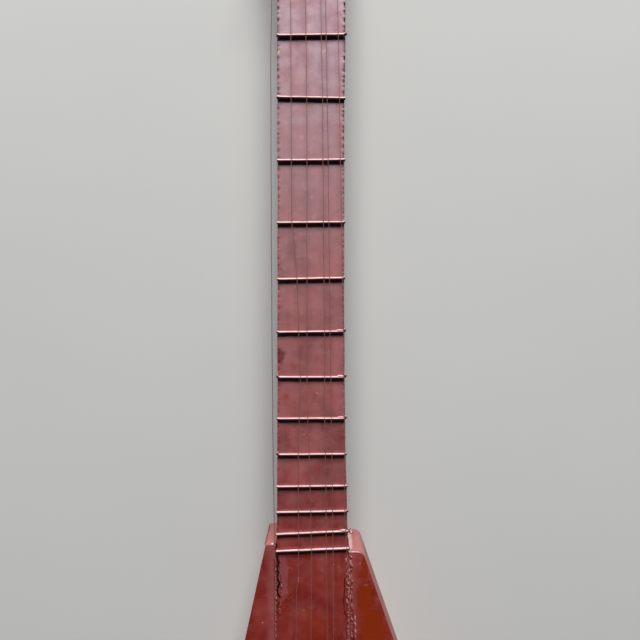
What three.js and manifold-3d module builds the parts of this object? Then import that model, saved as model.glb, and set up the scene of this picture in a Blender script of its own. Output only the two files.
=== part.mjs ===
// A hand-welded sheet-steel sitar, lying on its back: a long fretted box neck that runs right through
// a pear-shaped box body, a raked open peg box, five fretted strings and one drone string.
//
// Millimetres. +X to the right seen from the front, +Y up the neck towards the pegs, +Z out of the front.
// The origin is on the outside of the back plate, on the neck's centre line.

import * as THREE from "three";
import { mergeVertices } from "three/addons/utils/BufferGeometryUtils.js";
import Module from "manifold-3d";

const wasm = await Module();
wasm.setup();

// ---- Driving dimensions -------------------------------------------------------------------------

const GAP = 0.3; // between pieces that touch
const SHEET = 2; // body and neck sheet
const FRONT_Z = 70; // the body's depth: its front face above its back face
const DEG = Math.PI / 180;

const PLATE_THICKNESS = 3; // fingerboard plate
const SHOULDER_WIDTH = 72; // fingerboard plate where it meets the body
const TAPER = 0.008; // lost in width for each millimetre up the neck
const NECK_DEPTH = 36; // front of the plate to the back of the neck
const PLATE_OVERHANG = 0.8; // plate beyond the channel on each side
const SEAM_GAP = 0.6; // left open between the plate and a wing, under the weld
// The neck's right edge was ground back by hand: [y, how far in].
const RIGHT_HOLLOW = [[200, 0], [230, 0.9], [320, 2.5], [465, 2.9], [585, 2.5], [745, 0.4], [904, 0]];

const LEFT_SHOULDER = { x: -46.4, y: 200, flare: 12.3 * DEG };
const RIGHT_SHOULDER = { x: 51, y: 193.5, flare: 19.3 * DEG, radius: 9 };
const BOWL_RADIUS = 125; // the round lower end of the body

const NECK_END_Y = 904;
const NUT_Y = 896.5;
const NUT_LENGTH = 7;
const STRING_Z_AT_NUT = 75.2;
const NUT_TOP_Z = 76;

const BRIDGE_Y = -35;
const BRIDGE_LENGTH = 24;
const STRING_Z_AT_BRIDGE = 82;
const TAIL_BAR_Y = -176;
const TAIL_BAR_SECTION = 8;
const STRING_Z_AT_TAIL = 74.3;

const FRET_RADIUS = 2;
const FIRST_FRET_Y = 196; // the fret nearest the body
// Going up the neck.
const FRET_GAPS = [17, 20.9, 25.4, 31.8, 35.6, 41.2, 45.2, 53, 55.9, 62.2, 62.2, 62.4, 61.8, 61.8];
const FRET_TILTS = [2.4, 2.6, 1.2, 0.7, 0.5, 0.2, 0.1, 0.7, 1.2, 0.5, 0.6, -1.1, 0.7, 0.5, -0.5]; // degrees

const FRET_OVERHANG = { left: 0, right: 0.6 }; // beyond the plate

const STRING_RADIUS = 0.3;
const PEG_RADIUS = 4;
const PEG_HOLE_RADIUS = 4.4;
const WINDING_RADIUS = 5.4;
const WINDING_WIDTH = 7;

const HEAD_LENGTH = 150;
const HEAD_WIDTH = 64;
const HEAD_DEPTH = 36;
const HEAD_WALL = 2.5;
const FIRST_PEG_Y = 30; // along the peg box from the end of the neck
const PEG_SPACING = 24;
const PEG_DEPTH = 18; // peg axis below the peg box's open face
// The peg box leans back just far enough to rest its rear edge on the surface that the body lies on.
const HEAD_DIAGONAL = Math.hypot(HEAD_LENGTH, HEAD_DEPTH);
const HEAD_RAKE = Math.asin(FRONT_Z / HEAD_DIAGONAL) - Math.atan2(HEAD_DEPTH, HEAD_LENGTH);

const DRONE_POST = { y: 800, z: 64.8, radius: 1.6, reach: 11 };
const DRONE_PEG = { y: 830, z: 50, windingX: -41.2 };

// Each fretted string's way from the bridge to the nut, as [y, x] points: old wire keeps its small kinks.
const FRETTED_STRINGS = [
  {
    peg: 0, side: -1, turn: 20,
    way: [
      [-35, -16.4], [159, -15.1], [171, -13.1], [292, -13.4],
      [370, -11.5], [466, -14.7], [523, -19.9], [896, -22],
    ],
  },
  {
    peg: 2, side: -1, turn: 75,
    way: [
      [-35, -0.9], [189, -0.4], [248, -1.3], [295, -2.8], [347, -4.8], [638, -5], [742, -6.5], [896, -8.5],
    ],
  },
  {
    peg: 4, side: -1, turn: 140,
    way: [[-35, 16.6], [200, 14.3], [292, 13.3], [330, 12.6], [381, 12.6], [638, 10.5], [896, 6]],
  },
  {
    peg: 3, side: 1, turn: 50,
    way: [[-35, 22.4], [200, 20.9], [292, 19.7], [381, 18.4], [638, 15.3], [742, 13.4], [896, 10.8]],
  },
  {
    peg: 1, side: 1, turn: 110,
    way: [[-35, 38.4], [165, 37.2], [195, 34.6], [230, 32.4], [362, 32], [638, 27.3], [896, 22.6]],
  },
];
const DRONE_WAY = [
  [-35, -35.4], [195, -36.3], [267, -38.1], [385, -39.5], [500, -40.4], [690, -41.3], [800, -39.6],
];
const DRONE_PEG_TURN = 65;

// ---- Materials ----------------------------------------------------------------------------------

function surface(color, roughness, metalness) {
  return new THREE.MeshStandardMaterial({ color, roughness, metalness });
}

const RED_OXIDE = surface(0x83372b, 0.4, 0.1);
const WELD_PAINT = surface(0x8a4034, 0.5, 0.1);
const BARE_STEEL = surface(0x6d6864, 0.4, 0.9);
const STRING_WIRE = surface(0x8d8276, 0.35, 1);

// ---- Tools --------------------------------------------------------------------------------------

function solidOf(geometry) {
  const bare = geometry.clone();
  bare.deleteAttribute("normal");
  bare.deleteAttribute("uv");
  const merged = mergeVertices(bare, 1e-4);
  const vertProperties = new Float32Array(merged.attributes.position.array);
  const triVerts = new Uint32Array(merged.index.array);
  return new wasm.Manifold(new wasm.Mesh({ numProp: 3, vertProperties, triVerts }));
}

function geometryOf(solid) {
  const { vertProperties, triVerts } = solid.getMesh();
  const geometry = new THREE.BufferGeometry();
  geometry.setAttribute("position", new THREE.BufferAttribute(vertProperties, 3));
  geometry.setIndex(new THREE.BufferAttribute(triVerts, 1));
  geometry.computeVertexNormals();
  return geometry;
}

const cut = (geometry, ...tools) =>
  geometryOf(tools.reduce((left, tool) => left.subtract(solidOf(tool)), solidOf(geometry)));
const join = (first, ...rest) =>
  geometryOf(rest.reduce((all, next) => all.add(solidOf(next)), solidOf(first)));
const common = (a, b) => geometryOf(solidOf(a).intersect(solidOf(b)));

// A block from one corner to the opposite one.
function block(low, high) {
  const size = high.map((v, i) => v - low[i]);
  const centre = high.map((v, i) => (v + low[i]) / 2);
  return new THREE.BoxGeometry(...size).translate(...centre);
}

function polygon(points) {
  return new THREE.Shape(points.map(([x, y]) => new THREE.Vector2(x, y)));
}

// A flat outline in X and Y, given a thickness from z upwards.
function sheet(outline, z, thickness = SHEET, curveSegments = 24) {
  const slab = new THREE.ExtrudeGeometry(outline, { depth: thickness, bevelEnabled: false, curveSegments });
  return slab.translate(0, 0, z);
}

function cylinderAlongX(radius, from, to, sides = 16) {
  const cylinder = new THREE.CylinderGeometry(radius, radius, to - from, sides);
  return cylinder.rotateZ(Math.PI / 2).translate((from + to) / 2, 0, 0);
}

// A ring about the X axis.
function ringAlongX(inner, outer, width, sides = 20) {
  const profile = [[inner, 0], [outer, 0], [outer, width], [inner, width], [inner, 0]];
  const ring = new THREE.LatheGeometry(profile.map(([r, h]) => new THREE.Vector2(r, h)), sides);
  return ring.rotateZ(-Math.PI / 2);
}

// A curve of straight stretches that an extrusion follows from corner to corner.
class Route extends THREE.Curve {
  constructor(points) {
    super();
    this.points = points;
  }
  getUtoTmapping(u) {
    return u;
  }
  getPoint(t, target = new THREE.Vector3()) {
    const place = t * (this.points.length - 1);
    const i = Math.min(Math.floor(place), this.points.length - 2);
    return target.lerpVectors(this.points[i], this.points[i + 1], place - i);
  }
}

function wire(points, radius, sides = 8) {
  const section = new THREE.Shape().absarc(0, 0, radius, 0, 2 * Math.PI);
  const extrudePath = new Route(points);
  const settings = { extrudePath, steps: points.length - 1, curveSegments: sides, bevelEnabled: false };
  return new THREE.ExtrudeGeometry(section, settings);
}

const root = new THREE.Group();
function add(name, geometry, material, parent = root) {
  const mesh = new THREE.Mesh(geometry, material);
  mesh.name = name;
  parent.add(mesh);
  return mesh;
}

// ---- Body outline -------------------------------------------------------------------------------

const halfWidthAt = (y) => (SHOULDER_WIDTH - TAPER * (y - LEFT_SHOULDER.y)) / 2;

function rightEdgeAt(y) {
  const above = RIGHT_HOLLOW.findIndex(([at]) => at >= y);
  if (above <= 0) return halfWidthAt(y);
  const [[lowY, lowDepth], [highY, highDepth]] = RIGHT_HOLLOW.slice(above - 1, above + 1);
  return halfWidthAt(y) - THREE.MathUtils.mapLinear(y, lowY, highY, lowDepth, highDepth);
}

// Outward directions of the two straight sides.
const LEFT_OUT = new THREE.Vector2(-Math.cos(LEFT_SHOULDER.flare), Math.sin(LEFT_SHOULDER.flare));
const RIGHT_OUT = new THREE.Vector2(Math.cos(RIGHT_SHOULDER.flare), Math.sin(RIGHT_SHOULDER.flare));

// The bowl's centre, as far inside both straight sides as its radius.
function bowlCentre() {
  const left = LEFT_OUT.dot(LEFT_SHOULDER) - BOWL_RADIUS;
  const right = RIGHT_OUT.dot(RIGHT_SHOULDER) - BOWL_RADIUS;
  const spread = LEFT_OUT.cross(RIGHT_OUT);
  return new THREE.Vector2(
    (left * RIGHT_OUT.y - right * LEFT_OUT.y) / spread,
    (right * LEFT_OUT.x - left * RIGHT_OUT.x) / spread,
  );
}
const BOWL = bowlCentre();
const LEFT_TANGENT_Y = BOWL.y + BOWL_RADIUS * LEFT_OUT.y;
const RIGHT_TANGENT_Y = BOWL.y + BOWL_RADIUS * RIGHT_OUT.y;
const TAIL_Y = BOWL.y - BOWL_RADIUS;

// The body seen from the front, drawn this far inside its outer faces.
function bodyOutline(inset) {
  const left = LEFT_SHOULDER.x + (inset * (LEFT_OUT.y - 1)) / LEFT_OUT.x;
  const right = RIGHT_SHOULDER.x + (inset * (RIGHT_OUT.y - 1)) / RIGHT_OUT.x;
  const radius = RIGHT_SHOULDER.radius - inset;
  const cornerReach = radius * Math.tan((Math.PI / 2 - RIGHT_SHOULDER.flare) / 2);
  const cornerX = right - cornerReach;
  const cornerY = RIGHT_SHOULDER.y - inset - radius;
  const leftAngle = Math.atan2(LEFT_OUT.y, LEFT_OUT.x);
  const rightAngle = Math.atan2(RIGHT_OUT.y, RIGHT_OUT.x);
  const outline = new THREE.Shape();
  outline.absarc(BOWL.x, BOWL.y, BOWL_RADIUS - inset, leftAngle, rightAngle + 2 * Math.PI);
  outline.absarc(cornerX, cornerY, radius, rightAngle, Math.PI / 2);
  outline.lineTo(SHOULDER_WIDTH / 2 - 1, RIGHT_SHOULDER.y - inset);
  outline.lineTo(1 - SHOULDER_WIDTH / 2, LEFT_SHOULDER.y - inset);
  outline.lineTo(left, LEFT_SHOULDER.y - inset);
  outline.closePath();
  return outline;
}

// The strip that the neck takes up, this much wider on each side.
function neckStrip(extra, fromY, toY) {
  const bends = RIGHT_HOLLOW.map(([y]) => y).filter((y) => y > fromY && y < toY);
  const right = [fromY, ...bends, toY].map((y) => [rightEdgeAt(y) + extra, y]);
  const left = [toY, fromY].map((y) => [-halfWidthAt(y) - extra, y]);
  return polygon([...right, ...left]);
}

// ---- Body ---------------------------------------------------------------------------------------

const FAR = 400; // beyond every side of the body
const WALL_LOW = SHEET + GAP;
const WALL_HIGH = FRONT_Z - SHEET - GAP;
const RIGHT_WALL_SPLIT = RIGHT_SHOULDER.y - RIGHT_SHOULDER.radius - 3;

function addBody() {
  add("back_plate", sheet(bodyOutline(0), 0), RED_OXIDE);

  const front = sheet(bodyOutline(0), FRONT_Z - SHEET);
  const slot = sheet(neckStrip(SEAM_GAP, -FAR, FAR), 0, FRONT_Z + 1);
  const wings = cut(front, slot);
  const leftHalf = block([-FAR, -FAR, 0], [0, FAR, FRONT_Z + 1]);
  const rightHalf = block([0, -FAR, 0], [FAR, FAR, FRONT_Z + 1]);
  // Below the bowl's last corner the slot leaves nothing, so each wing is one piece.
  add("front_wing_left", common(wings, leftHalf), RED_OXIDE);
  add("front_wing_right", common(wings, rightHalf), RED_OXIDE);

  // The walls are one ring a sheet thick, cut where its strips end.
  const height = WALL_HIGH - WALL_LOW;
  const shell = cut(sheet(bodyOutline(0), WALL_LOW, height), sheet(bodyOutline(SHEET), 0, FRONT_Z));
  const neckGap = sheet(neckStrip(GAP, 0, FAR), 0, FRONT_Z);
  const wall = cut(shell, neckGap);
  const part = (x, y) => common(wall, block([x[0], y[0], 0], [x[1], y[1], FRONT_Z]));
  const leftSplit = LEFT_SHOULDER.y - SHEET;
  add("shoulder_wall_left", part([-FAR, 0], [leftSplit, FAR]), RED_OXIDE);
  add("side_wall_left", part([-FAR, 0], [LEFT_TANGENT_Y, leftSplit - GAP]), RED_OXIDE);
  add("shoulder_wall_right", part([0, FAR], [RIGHT_WALL_SPLIT, FAR]), RED_OXIDE);
  add("side_wall_right", part([0, FAR], [RIGHT_TANGENT_Y, RIGHT_WALL_SPLIT - GAP]), RED_OXIDE);
  const band = cut(
    wall,
    block([-FAR, LEFT_TANGENT_Y - GAP, 0], [0, FAR, FRONT_Z]),
    block([0, RIGHT_TANGENT_Y - GAP, 0], [FAR, FAR, FRONT_Z]),
  );
  add("tail_band", band, RED_OXIDE);

  const heelReach = halfWidthAt(RIGHT_SHOULDER.y) - GAP;
  const heelTop = FRONT_Z - NECK_DEPTH - GAP;
  const heelFront = RIGHT_SHOULDER.y;
  const heel = block([-heelReach, heelFront - SHEET, WALL_LOW], [heelReach, heelFront, heelTop]);
  add("heel_plate", heel, RED_OXIDE);
}

const BEAD_WIDTH = 5;
const BEAD_HEIGHT = 1.4;
const BEAD_FROM = TAIL_BAR_Y + TAIL_BAR_SECTION;
const LEFT_BEAD_TO = 189;
const RIGHT_BEAD_TO = 192;

// A weld bead that lies over the seam between the fingerboard plate and a wing.
function addWeldBead(name, side, fromY, toY) {
  const base = FRONT_Z + GAP;
  const seam = (y) => side * (halfWidthAt(y) + SEAM_GAP / 2);
  const section = polygon([
    [-BEAD_WIDTH / 2, 0],
    [BEAD_WIDTH / 2, 0],
    [BEAD_WIDTH / 3, BEAD_HEIGHT * 0.75],
    [0, BEAD_HEIGHT],
    [-BEAD_WIDTH / 3, BEAD_HEIGHT * 0.75],
  ]);
  const length = Math.hypot(toY - fromY, seam(toY) - seam(fromY));
  const bead = new THREE.ExtrudeGeometry(section, { depth: length, bevelEnabled: false });
  bead.rotateX(Math.PI / 2).rotateZ(Math.PI);
  bead.rotateZ(-Math.atan2(seam(toY) - seam(fromY), toY - fromY));
  bead.translate(seam(fromY), fromY, base);
  add(name, bead, WELD_PAINT);
}

// ---- Neck ---------------------------------------------------------------------------------------

const CHANNEL_FROM_TAIL = 22; // the channel stops this short of the body's lower end

function addNeck() {
  const strip = sheet(neckStrip(0, -FAR, NECK_END_Y), FRONT_Z - PLATE_THICKNESS, PLATE_THICKNESS);
  // The plate's lower end follows the bowl, inside its wall.
  const keep = join(
    sheet(bodyOutline(0), 0, FRONT_Z + 1),
    block([-FAR, 0, 0], [FAR, NECK_END_Y, FRONT_Z + 1]),
  );
  const plate = common(strip, keep);
  const bandRoom = cut(
    block([-FAR, -FAR, 0], [FAR, 0, WALL_HIGH + GAP]),
    sheet(bodyOutline(SHEET + GAP), -1, FRONT_Z),
  );
  add("fingerboard_plate", cut(plate, bandRoom), RED_OXIDE);

  const channelTop = FRONT_Z - PLATE_THICKNESS - GAP;
  const channelLow = FRONT_Z - NECK_DEPTH;
  const channelEnd = TAIL_Y + CHANNEL_FROM_TAIL;
  const outline = neckStrip(-PLATE_OVERHANG, channelEnd, NECK_END_Y);
  const outside = sheet(outline, channelLow, channelTop - channelLow);
  const hollow = neckStrip(-PLATE_OVERHANG - SHEET, channelEnd - 1, NECK_END_Y + 1);
  const inside = sheet(hollow, channelLow + SHEET, FRONT_Z);
  const pegHole = cylinderAlongX(PEG_HOLE_RADIUS, -FAR, FAR).translate(0, DRONE_PEG.y, DRONE_PEG.z);
  add("neck_channel", cut(outside, inside, pegHole), RED_OXIDE);
}

function addFrets() {
  let y = FIRST_FRET_Y;
  FRET_TILTS.forEach((tilt, i) => {
    const left = -halfWidthAt(y) - FRET_OVERHANG.left;
    const fret = cylinderAlongX(FRET_RADIUS, left, rightEdgeAt(y) + FRET_OVERHANG.right, 12);
    const mesh = add("fret_" + String(i + 1).padStart(2, "0"), fret, RED_OXIDE);
    mesh.position.set(0, y, FRONT_Z + FRET_RADIUS + GAP);
    mesh.rotation.z = tilt * DEG;
    y += FRET_GAPS[i] ?? 0;
  });
}

const NUT_INSET = 0.5; // from the plate's edges
const NOTCH_WIDTH = 1.6;

function addNut() {
  const reach = halfWidthAt(NUT_Y) - NUT_INSET;
  const low = [-reach, NUT_Y - NUT_LENGTH / 2, FRONT_Z + GAP];
  const bar = block(low, [reach, NUT_Y + NUT_LENGTH / 2, NUT_TOP_Z]);
  const notches = FRETTED_STRINGS.map(({ way }) => {
    const x = way.at(-1)[1];
    const floor = STRING_Z_AT_NUT - STRING_RADIUS - GAP;
    const near = [x - NOTCH_WIDTH / 2, NUT_Y - NUT_LENGTH, floor];
    return block(near, [x + NOTCH_WIDTH / 2, NUT_Y + NUT_LENGTH, FAR]);
  });
  add("nut", cut(bar, ...notches), BARE_STEEL);
}

// ---- Bridge and tail ----------------------------------------------------------------------------

const BRIDGE_REACH = 46;
const BRIDGE_TABLE = 4; // the strings' seat above its underside
const BRIDGE_CROWN = 1; // how much lower its long edges are
const BRIDGE_LEG_X = 27;
const BRIDGE_LEG_WIDTH = 6;
const BRIDGE_LEG_INSET = 2; // from the table's long edges

function addBridge() {
  const top = STRING_Z_AT_BRIDGE - STRING_RADIUS - GAP;
  const underside = top - BRIDGE_TABLE;
  // The table's top falls away a little towards the tail and the neck.
  const half = BRIDGE_LENGTH / 2;
  const crown = new THREE.Shape();
  crown.moveTo(-half, underside);
  crown.lineTo(half, underside);
  crown.lineTo(half, top - BRIDGE_CROWN);
  crown.quadraticCurveTo(0, top + BRIDGE_CROWN, -half, top - BRIDGE_CROWN);
  const table = sheet(crown, 0, 2 * BRIDGE_REACH, 6);
  table.rotateX(Math.PI / 2).rotateZ(Math.PI / 2).translate(-BRIDGE_REACH, BRIDGE_Y, 0);
  add("bridge_table", table, BARE_STEEL);
  for (const [name, side] of [["bridge_leg_left", -1], ["bridge_leg_right", 1]]) {
    const x = side * BRIDGE_LEG_X;
    const low = [x - BRIDGE_LEG_WIDTH / 2, BRIDGE_Y - half + BRIDGE_LEG_INSET, FRONT_Z + GAP];
    const high = [x + BRIDGE_LEG_WIDTH / 2, BRIDGE_Y + half - BRIDGE_LEG_INSET, underside - GAP];
    add(name, block(low, high), BARE_STEEL);
  }
}

const ALL_WAYS = [DRONE_WAY, ...FRETTED_STRINGS.map((s) => s.way)];
const STRING_HOLE_RADIUS = 0.9;
const TAIL_BAR_REACH = 45;

function addTailpiece() {
  const half = TAIL_BAR_SECTION / 2;
  const base = FRONT_Z + GAP;
  const low = [-TAIL_BAR_REACH, TAIL_BAR_Y - half, base];
  const bar = block(low, [TAIL_BAR_REACH, TAIL_BAR_Y + half, base + TAIL_BAR_SECTION]);
  const drill = new THREE.CylinderGeometry(STRING_HOLE_RADIUS, STRING_HOLE_RADIUS, 3 * TAIL_BAR_SECTION, 8);
  const holes = ALL_WAYS.map((way) => drill.clone().translate(way[0][1], TAIL_BAR_Y, STRING_Z_AT_TAIL));
  add("tailpiece", cut(bar, ...holes), BARE_STEEL);
}

// ---- Peg box, pegs and strings ------------------------------------------------------------------

const head = new THREE.Group();
head.position.set(0, NECK_END_Y, FRONT_Z);
head.rotation.x = -HEAD_RAKE;
root.add(head);
head.updateMatrixWorld(true);

const PEG_ROWS = FRETTED_STRINGS.length;
const CREST = 7; // how far the end plate rises above the peg box
const END_PLATE_LIFT = 3; // the end plate's lower edge above the peg box's underside
const pegY = (row) => FIRST_PEG_Y + PEG_SPACING * row;

function addPegBox() {
  const half = HEAD_WIDTH / 2;
  const outside = block([-half, 0, -HEAD_DEPTH], [half, HEAD_LENGTH, 0]);
  const inner = half - HEAD_WALL;
  const inside = block([-inner, -FAR, HEAD_WALL - HEAD_DEPTH], [inner, FAR, 1]);
  const holes = Array.from({ length: PEG_ROWS }, (_, row) =>
    cylinderAlongX(PEG_HOLE_RADIUS, -FAR, FAR).translate(0, pegY(row), -PEG_DEPTH),
  );
  // The end is cut square to the neck, so that it meets the neck's end all the way down.
  const mitre = block([-FAR, -FAR, -FAR], [FAR, GAP, FAR]).rotateX(HEAD_RAKE);
  add("pegbox_channel", cut(outside, inside, mitre, ...holes), RED_OXIDE, head);

  const low = END_PLATE_LIFT - HEAD_DEPTH;
  const plate = new THREE.Shape();
  plate.moveTo(-half, low);
  plate.lineTo(half, low);
  plate.lineTo(half, 0);
  plate.quadraticCurveTo(half / 2, 0, 0, CREST);
  plate.quadraticCurveTo(-half / 2, 0, -half, 0);
  const cap = sheet(plate, 0, HEAD_WALL, 8);
  cap.rotateX(Math.PI / 2).translate(0, HEAD_LENGTH + GAP + HEAD_WALL, 0);
  add("pegbox_end_plate", cap, RED_OXIDE, head);
}

const KEY_FROM_WALL = 8; // where the key of a peg in the peg box starts
const DRONE_KEY_AT = 49; // further out, to leave room for the drone string's winding
const KEY_LENGTH = 22;
const SHAFT_IN_KEY = 5;
const KEY_WIDTH = 26;
const KEY_THICKNESS = 3.6;
const FLANGE_RADIUS = 6.5;
const FLANGE_WIDTH = 2.5;
const PEG_END = 3; // the shaft beyond its collar
const COLLAR_WIDTH = 4;
const COLLAR_RADIUS = 7;

// A peg along +X: a thumb key at the far end, a flange at the near wall and a shaft through both walls.
function pegGeometry({ flangeAt, keyAt, tailAt }) {
  const shaft = cylinderAlongX(PEG_RADIUS, tailAt, keyAt + SHAFT_IN_KEY);
  const flange = cylinderAlongX(FLANGE_RADIUS, flangeAt, flangeAt + FLANGE_WIDTH);
  const outline = new THREE.Shape();
  outline.moveTo(0, -PEG_RADIUS);
  outline.bezierCurveTo(3, -KEY_WIDTH / 2, KEY_LENGTH * 0.7, -KEY_WIDTH * 0.7, KEY_LENGTH, 0);
  outline.bezierCurveTo(KEY_LENGTH * 0.7, KEY_WIDTH * 0.7, 3, KEY_WIDTH / 2, 0, PEG_RADIUS);
  outline.closePath();
  const key = sheet(outline, -KEY_THICKNESS / 2, KEY_THICKNESS, 8);
  return join(shaft, flange, key.translate(keyAt, 0, 0));
}

// A peg, its string's winding and its end collar. They turn together about X through (y, z) of the parent.
function addPeg(name, parent, { y, z, side, turn, wall, windingX, keyAt }) {
  const seat = new THREE.Group();
  seat.position.set(0, y, z);
  seat.rotation.set(turn * DEG, 0, 0);
  parent.add(seat);
  const away = new THREE.Group();
  away.rotation.z = side < 0 ? Math.PI : 0;
  seat.add(away);
  const collarAt = -(wall + GAP + COLLAR_WIDTH);
  const peg = pegGeometry({ flangeAt: wall + GAP, keyAt, tailAt: collarAt - PEG_END });
  add("peg_" + name, peg, BARE_STEEL, away);
  const collar = ringAlongX(PEG_RADIUS + GAP, COLLAR_RADIUS, COLLAR_WIDTH).translate(collarAt, 0, 0);
  add("peg_collar_" + name, collar, BARE_STEEL, away);
  const winding = ringAlongX(PEG_RADIUS + GAP, WINDING_RADIUS, WINDING_WIDTH);
  add("winding_" + name, winding.translate(windingX - WINDING_WIDTH / 2, 0, 0), STRING_WIRE, seat);
}

const STRING_ON_WINDING = WINDING_RADIUS + GAP + STRING_RADIUS;
const KNOT_RADIUS = 1.5;
const KNOT_BEHIND_BAR = 2;

// The string's whole way: knot behind the tail bar, over the bridge, along the neck, and down to its peg.
function addString(name, way, zAtNeckEnd, lastPoints) {
  const [, bridgeX] = way[0];
  const [endY] = way.at(-1);
  const knotY = TAIL_BAR_Y - TAIL_BAR_SECTION / 2 - KNOT_BEHIND_BAR;
  const rise = (zAtNeckEnd - STRING_Z_AT_BRIDGE) / (endY - BRIDGE_Y);
  const points = [
    new THREE.Vector3(bridgeX, knotY, STRING_Z_AT_TAIL),
    new THREE.Vector3(bridgeX, TAIL_BAR_Y + TAIL_BAR_SECTION, STRING_Z_AT_TAIL),
    new THREE.Vector3(bridgeX, BRIDGE_Y - BRIDGE_LENGTH / 2, STRING_Z_AT_BRIDGE - 0.7),
    ...way.map(([y, x]) => new THREE.Vector3(x, y, STRING_Z_AT_BRIDGE + rise * (y - BRIDGE_Y))),
    ...lastPoints,
  ];
  const knot = new THREE.SphereGeometry(KNOT_RADIUS, 8, 6).translate(bridgeX, knotY, STRING_Z_AT_TAIL);
  add("string_" + name, join(wire(points, STRING_RADIUS), knot), STRING_WIRE);
}

function addPegsAndStrings() {
  FRETTED_STRINGS.forEach(({ peg, side, turn, way }, i) => {
    const name = String(i + 1);
    const windingX = way.at(-1)[1];
    const y = pegY(peg);
    const wall = HEAD_WIDTH / 2;
    addPeg(name, head, { y, z: -PEG_DEPTH, side, turn, wall, windingX, keyAt: wall + KEY_FROM_WALL });
    const nutEnd = new THREE.Vector3(windingX, NUT_Y + NUT_LENGTH / 2, STRING_Z_AT_NUT);
    const onWinding = head.localToWorld(new THREE.Vector3(windingX, y, STRING_ON_WINDING - PEG_DEPTH));
    addString(name, way, STRING_Z_AT_NUT, [nutEnd, onWinding]);
  });

  const { y, z, windingX } = DRONE_PEG;
  const wall = halfWidthAt(y) - PLATE_OVERHANG;
  addPeg("drone", root, { y, z, side: -1, turn: DRONE_PEG_TURN, wall, windingX, keyAt: DRONE_KEY_AT });
  const overPost = DRONE_POST.z + DRONE_POST.radius + GAP + STRING_RADIUS;
  addString("drone", DRONE_WAY, overPost, [new THREE.Vector3(windingX, y, z + STRING_ON_WINDING)]);

  const start = -(halfWidthAt(DRONE_POST.y) - PLATE_OVERHANG + GAP);
  const post = cylinderAlongX(DRONE_POST.radius, start - DRONE_POST.reach, start, 10);
  add("drone_post", post.translate(0, DRONE_POST.y, DRONE_POST.z), BARE_STEEL);
}

addBody();
addWeldBead("weld_bead_left", -1, BEAD_FROM, LEFT_BEAD_TO);
addWeldBead("weld_bead_right", 1, BEAD_FROM, RIGHT_BEAD_TO);
addNeck();
addFrets();
addNut();
addBridge();
addTailpiece();
addPegBox();
addPegsAndStrings();

export default root;
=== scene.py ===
import math

import bmesh
import bpy
from mathutils import Matrix, Vector, noise


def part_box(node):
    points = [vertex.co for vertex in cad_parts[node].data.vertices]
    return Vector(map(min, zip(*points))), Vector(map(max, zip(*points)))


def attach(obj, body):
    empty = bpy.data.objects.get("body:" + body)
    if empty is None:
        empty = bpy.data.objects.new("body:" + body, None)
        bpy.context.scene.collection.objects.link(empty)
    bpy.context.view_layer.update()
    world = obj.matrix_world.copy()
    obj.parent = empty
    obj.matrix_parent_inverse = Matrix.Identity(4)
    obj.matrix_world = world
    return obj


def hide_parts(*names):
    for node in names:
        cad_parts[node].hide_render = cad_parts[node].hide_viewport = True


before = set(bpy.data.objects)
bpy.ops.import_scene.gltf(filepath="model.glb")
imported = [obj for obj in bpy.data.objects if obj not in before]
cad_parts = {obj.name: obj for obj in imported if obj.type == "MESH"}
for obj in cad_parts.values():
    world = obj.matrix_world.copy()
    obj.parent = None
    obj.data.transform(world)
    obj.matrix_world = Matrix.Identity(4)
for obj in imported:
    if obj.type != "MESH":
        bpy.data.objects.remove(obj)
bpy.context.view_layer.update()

scene = bpy.context.scene

# Sizes and places on the instrument are in millimetres: X across it, Y from the tail to the peg end, and Z
# up from the surface that it lies on. MM turns them into metres.
MM = 0.001
INSTRUMENT = "instrument"
FRONT = 70.0  # the height of the instrument's front face
NECK_END = 904.0


def at(x, y, z):
    """Millimetres as metres."""
    return (x * MM, y * MM, z * MM)


def clamp(value, low, high):
    return max(low, min(high, value))


def box_of(node):
    """The lowest and highest corners of a CAD node, in millimetres."""
    low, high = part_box(node)
    return low / MM, high / MM


# ---- Camera and light ---------------------------------------------------------------------------

FOCAL_LENGTH = 36.06
CAMERA_PLACE = (0.008, 0.425, 0.711)  # metres; it looks straight down

camera_data = bpy.data.cameras.new("camera")
camera_data.lens = FOCAL_LENGTH
camera_data.clip_start = 0.01
camera = bpy.data.objects.new("camera", camera_data)
camera.location = CAMERA_PLACE
scene.collection.objects.link(camera)
scene.camera = camera
scene.view_settings.view_transform = "Standard"
scene.view_settings.look = "None"


def soft_light(name, location, target, size, power, color):
    """A rectangular studio light, placed and sized in metres."""
    data = bpy.data.lights.new(name, "AREA")
    data.shape = "RECTANGLE"
    data.size, data.size_y = size
    data.energy = power
    data.color = color
    light = bpy.data.objects.new(name, data)
    light.location = location
    aim = Vector(target) - Vector(location)
    light.rotation_euler = aim.to_track_quat("-Z", "Y").to_euler()
    scene.collection.objects.link(light)


soft_light(
    "key",
    location=(0.2, 5.25, 3.65),
    target=(0, 0.45, 0.05),
    size=(3.4, 3.2),
    power=800,
    color=(0.96, 0.98, 1.02),
)

# ---- Small node language ------------------------------------------------------------------------


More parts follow.
